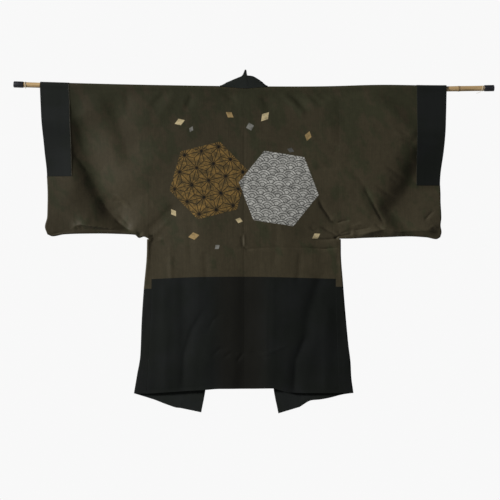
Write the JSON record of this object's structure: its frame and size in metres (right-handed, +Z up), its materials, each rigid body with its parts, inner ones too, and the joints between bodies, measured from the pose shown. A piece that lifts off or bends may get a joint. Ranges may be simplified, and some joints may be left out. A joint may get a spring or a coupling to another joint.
{
  "type": "haori jacket on a hanging rod",
  "caption": "Man's lined silk haori jacket, inside out, hung flat by its sleeves on a bamboo rod, seen from the back.",
  "frame": {"origin": "on the rod's axis at the jacket's centre back seam", "axes": "+X along the rod, to the right as seen from the jacket's back; +Y from the back towards the fronts; +Z up"},
  "size_m": [1.5346, 0.0338, 1.0952],
  "materials": {
    "lining_silk": "olive brown satin silk lining",
    "outer_silk": "black plain-weave silk",
    "bamboo": "smooth pale bamboo",
    "cap_plastic": "black end cap"
  },
  "bodies": {
    "root": {"body_lining_left": "lining_silk", "body_lining_right": "lining_silk", "sleeve_left": "lining_silk", "sleeve_right": "lining_silk", "gore_lining_left": "lining_silk", "gore_lining_right": "lining_silk", "hem_back_left": "outer_silk", "hem_back_right": "outer_silk", "hem_front_left": "outer_silk", "hem_front_right": "outer_silk", "gore_hem_left": "outer_silk", "gore_hem_right": "outer_silk", "cuff_facing_left": "outer_silk", "cuff_facing_right": "outer_silk", "collar": "outer_silk", "loop_left": "outer_silk", "loop_right": "outer_silk", "rod": "bamboo", "rod_cap_left": "cap_plastic", "rod_cap_right": "cap_plastic"}
  },
  "joints": []
}
